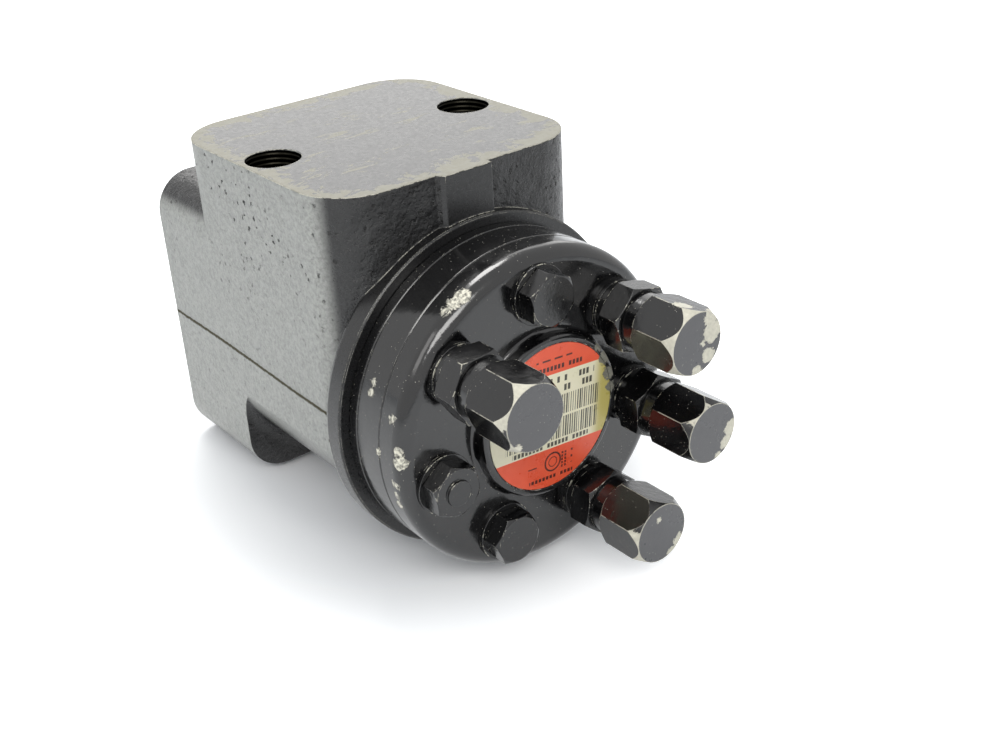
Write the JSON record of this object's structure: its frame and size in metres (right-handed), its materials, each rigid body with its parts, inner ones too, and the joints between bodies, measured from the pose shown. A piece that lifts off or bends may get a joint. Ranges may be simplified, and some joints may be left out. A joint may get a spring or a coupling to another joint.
{
  "type": "orbital steering unit",
  "caption": "Hydrostatic orbital steering unit: cast valve housing with threaded ports, gear set, end cover with collared nuts and long cap nuts, splined column end.",
  "frame": {"origin": "centre of the column mounting face, on the steering axis", "axes": "+Y along the steering axis out of the column end, away from the end cover; +Z towards the machined port face; +X to the right seen from the cover end"},
  "size_m": [0.0954, 0.1562, 0.1082],
  "materials": {
    "painted_cast_iron": "gloss black paint over rough sand casting, machined top face worn",
    "painted_steel": "gloss black paint over turned steel, worn at the joints",
    "painted_fasteners": "black paint, corners worn bare",
    "washer_steel": "painted over, edges worn",
    "stud_steel": "plain rolled thread",
    "machined_steel": "ground and oiled",
    "bearing_steel": "lapped",
    "spring_steel": "blued strip",
    "seal_rubber": "matt nitrile",
    "printed_aluminium": "thin printed disc, orange and cream bands"
  },
  "bodies": {
    "base": {"housing": "painted_cast_iron", "dust_seal": "seal_rubber", "shaft_seal": "seal_rubber", "outer_bearing_race": "bearing_steel", "distributor_plate": "painted_steel", "gear_ring": "painted_steel", "end_cover": "painted_steel", "label_plate": "printed_aluminium", "housing_o_ring": "seal_rubber", "plate_o_ring": "seal_rubber", "cover_o_ring": "seal_rubber", "washers": "washer_steel", "cover_screws": "painted_fasteners", "check_screw": "painted_fasteners", "cover_studs": "stud_steel", "stud_nuts": "painted_fasteners", "cap_nuts": "painted_fasteners", "check_seat": "machined_steel"},
    "sleeve_set": {"sleeve": "machined_steel", "cross_pin": "machined_steel", "spring_ring": "spring_steel", "inner_bearing_race": "bearing_steel"},
    "spool_set": {"spool": "machined_steel", "centring_springs": "spring_steel"},
    "orbit_carrier": {"spacer": "machined_steel"},
    "rotor": {"gear_rotor": "machined_steel"},
    "cardan": {"cardan_shaft": "machined_steel"},
    "cage": {"needle_cage": "bearing_steel", "bearing_needles": "bearing_steel"},
    "ball": {"check_ball": "bearing_steel"}
  },
  "joints": [
    {"name": "sleeve_spin", "type": "hinge", "parent": "base", "child": "sleeve_set", "pos_m": [0, -0.06, 0], "axis": [0, 1, 0], "continuous": true},
    {"name": "spool_deflect", "type": "hinge", "parent": "sleeve_set", "child": "spool_set", "pos_m": [0, -0.06, 0], "axis": [0, 1, 0], "range_deg": [-8, 8], "stiffness_Nm_per_rad": 2, "deforming": ["centring_springs"]},
    {"name": "rotor_orbit", "type": "hinge", "parent": "base", "child": "orbit_carrier", "pos_m": [0, -0.1124, 0], "axis": [0, 1, 0], "continuous": true},
    {"name": "rotor_spin", "type": "hinge", "parent": "orbit_carrier", "child": "rotor", "pos_m": [0, -0.1124, 0.0024], "axis": [0, 1, 0], "continuous": true},
    {"name": "cardan_spin", "type": "hinge", "parent": "orbit_carrier", "child": "cardan", "pos_m": [0, -0.036, 0], "axis": [0, 0.9995, -0.0314], "continuous": true},
    {"name": "cage_spin", "type": "hinge", "parent": "base", "child": "cage", "pos_m": [0, -0.0155, 0], "axis": [0, 1, 0], "continuous": true},
    {"name": "check_ball_lift", "type": "slide", "parent": "base", "child": "ball", "axis": [0, -1, 0], "range_m": [0, 0.0015]}
  ],
  "couplings": [
    {"joint": "rotor_orbit", "follows": "sleeve_spin", "ratio": -6},
    {"joint": "rotor_spin", "follows": "sleeve_spin", "ratio": 7},
    {"joint": "cardan_spin", "follows": "sleeve_spin", "ratio": 7},
    {"joint": "cage_spin", "follows": "sleeve_spin", "ratio": 0.5}
  ]
}
